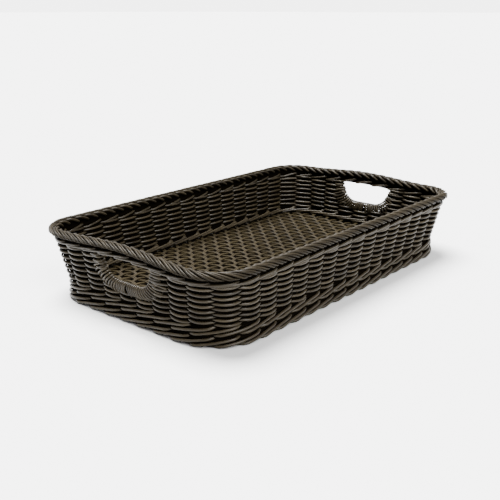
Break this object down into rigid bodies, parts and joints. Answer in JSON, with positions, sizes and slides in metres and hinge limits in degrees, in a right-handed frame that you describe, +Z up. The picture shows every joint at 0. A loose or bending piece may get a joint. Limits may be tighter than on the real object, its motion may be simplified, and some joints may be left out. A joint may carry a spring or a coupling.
{
  "type": "woven bread basket",
  "caption": "Low rectangular woven basket with a rolled rope border, flared wall, waled foot, open woven floor and a D-shaped hand hole in each short side.",
  "frame": {"origin": "middle of the basket's underside, on the surface that it stands on", "axes": "+X along the basket's long side, +Y across it, +Z up; the hand holes are in the two short sides, at -X (left) and +X (right)"},
  "size_m": [0.53, 0.325, 0.099],
  "materials": {
    "wall_strand": "dark brown woven resin strand, satin",
    "border_strand": "dark brown woven resin strand, satin",
    "floor_strand": "olive brown woven resin strand, satin",
    "stake": "dark brown resin rod, satin",
    "frame_wire": "brown painted steel wire"
  },
  "bodies": {
    "root": {"back_stakes": "stake", "corner_stakes": "stake", "floor_edge_rope": "wall_strand", "floor_frame_wire": "frame_wire", "floor_rods_crosswise": "floor_strand", "floor_rods_lengthwise": "floor_strand", "foot_wale_01": "wall_strand", "foot_wale_02": "wall_strand", "foot_wale_03": "wall_strand", "foot_wale_04": "wall_strand", "foot_wale_05": "wall_strand", "foot_wale_06": "wall_strand", "foot_wale_07": "wall_strand", "foot_wale_08": "wall_strand", "foot_wale_09": "wall_strand", "front_stakes": "stake", "left_hand_hole_hoop": "frame_wire", "left_hand_hole_wrap": "wall_strand", "left_stakes": "stake", "right_hand_hole_hoop": "frame_wire", "right_hand_hole_wrap": "wall_strand", "right_stakes": "stake", "rim_wire": "frame_wire", "rolled_border": "border_strand", "top_wale_1": "wall_strand", "top_wale_2": "wall_strand", "wall_course_01": "wall_strand", "wall_course_02": "wall_strand", "wall_course_03": "wall_strand", "wall_course_04": "wall_strand", "wall_course_05": "wall_strand", "wall_course_06": "wall_strand", "wall_course_07": "wall_strand", "wall_course_08": "wall_strand", "wall_course_09": "wall_strand", "wall_course_10": "wall_strand", "wall_course_11": "wall_strand", "wall_course_12": "wall_strand", "wall_course_13": "wall_strand", "wall_course_14": "wall_strand", "wall_course_15": "wall_strand"}
  },
  "joints": []
}
